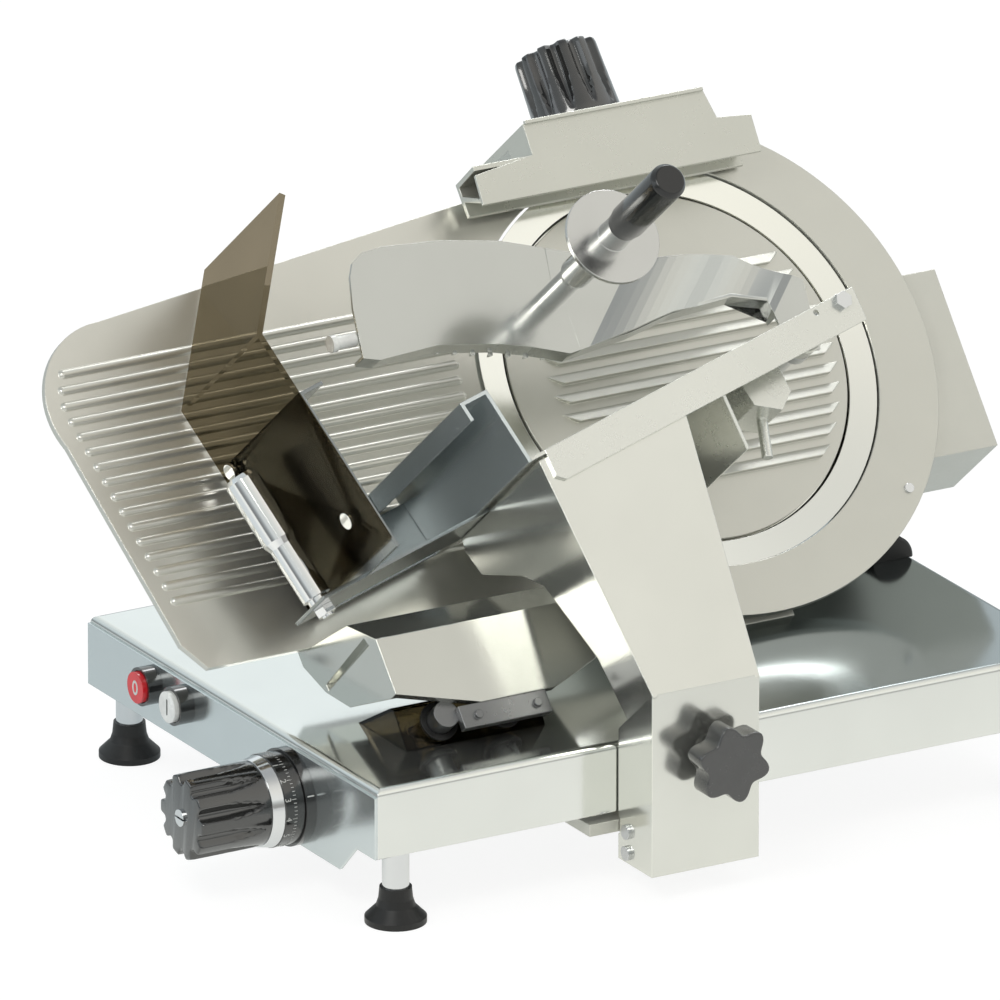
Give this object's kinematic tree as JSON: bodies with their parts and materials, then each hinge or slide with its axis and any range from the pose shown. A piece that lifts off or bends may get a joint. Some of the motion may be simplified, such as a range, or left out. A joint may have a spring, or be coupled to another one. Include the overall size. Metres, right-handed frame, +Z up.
{
  "type": "meat slicer",
  "caption": "Electric gravity-feed slicer: tilted round blade, ribbed gauge plate, sliding product table on an arm, hinged pusher, hand guard, sharpener and thickness knob.",
  "frame": {"origin": "on the floor under the middle of the whole machine's box", "axes": "+X to the operator's right, towards the carriage arm; +Y away from the operator along the carriage travel; +Z up"},
  "size_m": [0.6318, 0.8278, 0.5767],
  "materials": {
    "sheet_aluminium": "satin",
    "panel_aluminium": "satin",
    "cast_aluminium": "satin",
    "polished_steel": "polished",
    "plain_steel": "satin",
    "chrome": "polished",
    "black_plastic": "gloss",
    "dark_plastic": "satin",
    "black_rubber": "matte",
    "red_plastic": "gloss",
    "white_plastic": "gloss",
    "smoked_plastic": "gloss",
    "bronze": "satin",
    "stone": "matte",
    "motor_paint": "satin"
  },
  "bodies": {
    "base": {"base_shell": "sheet_aluminium", "base_plate": "plain_steel", "control_panel": "panel_aluminium", "foot_pads": "black_rubber", "foot_legs": "polished_steel", "thickness_flange": "black_plastic", "button_bezels": "black_plastic", "switch_bodies": "dark_plastic", "gauge_guide_block": "plain_steel", "bar_grommets": "black_rubber", "gauge_shroud": "smoked_plastic", "spindle_bearings": "plain_steel", "blade_cover": "cast_aluminium", "cover_knob": "black_plastic", "ring_guard": "cast_aluminium", "ring_guard_screws": "polished_steel", "blade_housing": "cast_aluminium", "motor": "motor_paint", "drive_belt": "black_rubber", "cable_gland": "black_rubber", "sharpener_post": "plain_steel", "guide_rod": "polished_steel"},
    "thickness_control": {"thickness_dial": "black_plastic", "thickness_grip": "black_plastic", "thickness_shaft": "polished_steel"},
    "gauge": {"gauge_plate": "cast_aluminium", "gauge_bracket": "sheet_aluminium", "gauge_bars": "polished_steel", "bar_clamp": "plain_steel", "gauge_fork": "plain_steel"},
    "stop": {"stop_button": "red_plastic"},
    "start": {"start_button": "white_plastic"},
    "blade_set": {"blade": "polished_steel", "blade_screws": "plain_steel", "blade_spindle": "plain_steel", "driven_pulley": "cast_aluminium"},
    "motor_rotor": {"motor_pulley": "plain_steel"},
    "sharpener": {"sharpener_housing": "cast_aluminium"},
    "sharpener_dial": {"sharpener_knob": "black_plastic"},
    "grinder": {"grinding_stone": "stone"},
    "truer": {"truing_stone": "stone"},
    "carriage": {"carriage_arm": "sheet_aluminium", "arm_screws": "plain_steel", "slide_block": "cast_aluminium", "slide_bushes": "bronze", "product_table": "sheet_aluminium", "near_wall": "panel_aluminium", "guard_bracket": "panel_aluminium", "hand_guard": "smoked_plastic", "push_handle": "chrome", "pusher_rod": "polished_steel"},
    "front_roller": {"roller_front": "white_plastic"},
    "rear_roller": {"roller_rear": "white_plastic"},
    "lock": {"lock_knob": "dark_plastic"},
    "pusher_slider": {"pusher_collars": "plain_steel"},
    "pusher": {"pusher_plate": "cast_aluminium", "pusher_arm": "polished_steel", "pusher_stem": "polished_steel", "pusher_grip": "black_plastic", "pusher_peg": "white_plastic"}
  },
  "joints": [
    {"name": "thickness_turn", "type": "hinge", "parent": "base", "child": "thickness_control", "pos_m": [0.09394, -0.3106, 0.074], "axis": [0, -1, 0], "range_deg": [0, 300]},
    {"name": "gauge_slide", "type": "slide", "parent": "base", "child": "gauge", "axis": [-0.766, 0, -0.6428], "range_m": [0, 0.014]},
    {"name": "stop_press", "type": "slide", "parent": "base", "child": "stop", "axis": [0, 1, 0], "range_m": [0, 0.0035], "stiffness_N_per_m": 800, "springref_m": -0.001},
    {"name": "start_press", "type": "slide", "parent": "base", "child": "start", "axis": [0, 1, 0], "range_m": [0, 0.0035], "stiffness_N_per_m": 800, "springref_m": -0.001},
    {"name": "blade_spin", "type": "hinge", "parent": "base", "child": "blade_set", "pos_m": [-0.08607, 0.1499, 0.299], "axis": [0.766, 0, 0.6428], "continuous": true},
    {"name": "motor_spin", "type": "hinge", "parent": "base", "child": "motor_rotor", "pos_m": [-0.09357, 0.3399, 0.24571], "axis": [0.766, 0, 0.6428], "continuous": true},
    {"name": "sharpener_lift", "type": "slide", "parent": "base", "child": "sharpener", "axis": [-0.6428, 0, 0.766], "range_m": [0, 0.025]},
    {"name": "sharpener_turn", "type": "hinge", "parent": "sharpener", "child": "sharpener_dial", "pos_m": [-0.25719, 0.1519, 0.46871], "axis": [-0.6428, 0, 0.766], "continuous": true},
    {"name": "grinder_spin", "type": "hinge", "parent": "sharpener", "child": "grinder", "pos_m": [-0.19826, 0.1179, 0.46071], "axis": [0.766, 0, 0.6428], "continuous": true},
    {"name": "truer_spin", "type": "hinge", "parent": "sharpener", "child": "truer", "pos_m": [-0.19826, 0.1839, 0.46071], "axis": [0.766, 0, 0.6428], "continuous": true},
    {"name": "carriage_slide", "type": "slide", "parent": "base", "child": "carriage", "axis": [0, 1, 0], "range_m": [-0.15, 0.2]},
    {"name": "front_roller_spin", "type": "hinge", "parent": "carriage", "child": "front_roller", "pos_m": [0.20794, -0.0506, 0.0777], "axis": [1, 0, 0], "continuous": true},
    {"name": "rear_roller_spin", "type": "hinge", "parent": "carriage", "child": "rear_roller", "pos_m": [0.20794, -0.0286, 0.0777], "axis": [1, 0, 0], "continuous": true},
    {"name": "lock_turn", "type": "hinge", "parent": "carriage", "child": "lock", "pos_m": [0.28193, -0.0316, 0.119], "axis": [1, 0, 0], "continuous": true},
    {"name": "pusher_slide", "type": "slide", "parent": "carriage", "child": "pusher_slider", "axis": [0.766, 0, 0.6428], "range_m": [-0.05, 0.048]},
    {"name": "pusher_swing", "type": "hinge", "parent": "pusher_slider", "child": "pusher", "pos_m": [0.03462, 0.19446, 0.34963], "axis": [0.766, 0, 0.6428], "range_deg": [-90, 0]}
  ],
  "couplings": [
    {"joint": "thickness_turn", "follows": "gauge_slide", "rad_per_m": 374},
    {"joint": "motor_spin", "follows": "blade_spin", "ratio": 2.6667}
  ]
}
